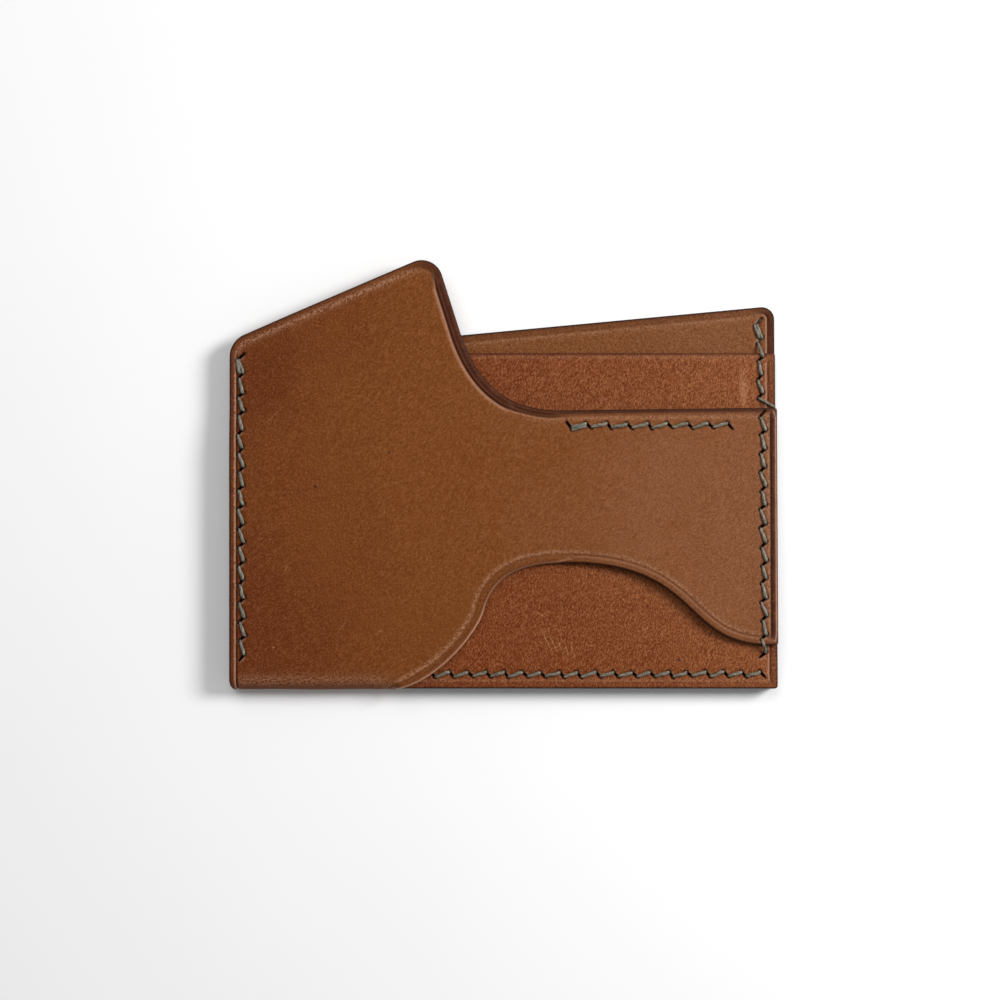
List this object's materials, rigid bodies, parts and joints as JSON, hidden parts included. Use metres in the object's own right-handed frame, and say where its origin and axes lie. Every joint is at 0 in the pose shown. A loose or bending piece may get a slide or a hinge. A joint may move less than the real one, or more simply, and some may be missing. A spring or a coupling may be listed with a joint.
{
  "type": "leather card holder",
  "caption": "Slim hand-stitched leather card holder: a folded outer wrap with a slanted tab, a cross band and an S-shaped thumb cut-out over two inner pocket panels.",
  "frame": {"origin": "under the middle of the holder, in the plane of the back panel's outer face", "axes": "+X along the long side, from the folded side's seam to the band's end; +Y from the bottom edge towards the pocket mouths and the tab; +Z out of the front panel"},
  "size_m": [0.1, 0.0784, 0.0057],
  "materials": {
    "outer_leather": "matte tan-brown vegetable-tanned leather, fine grain, burnished dark edges",
    "pocket_leather": "thinner, glossier reddish-brown leather, fine grain, skived mouths",
    "waxed_thread": "waxed braided thread, taupe grey, slightly flattened"
  },
  "bodies": {
    "root": {"outer_wrap": "outer_leather", "middle_pocket": "pocket_leather", "lower_pocket": "pocket_leather", "left_seam_thread": "waxed_thread", "right_seam_thread": "waxed_thread", "bottom_seam_thread": "waxed_thread", "band_seam_thread": "waxed_thread"}
  },
  "joints": []
}
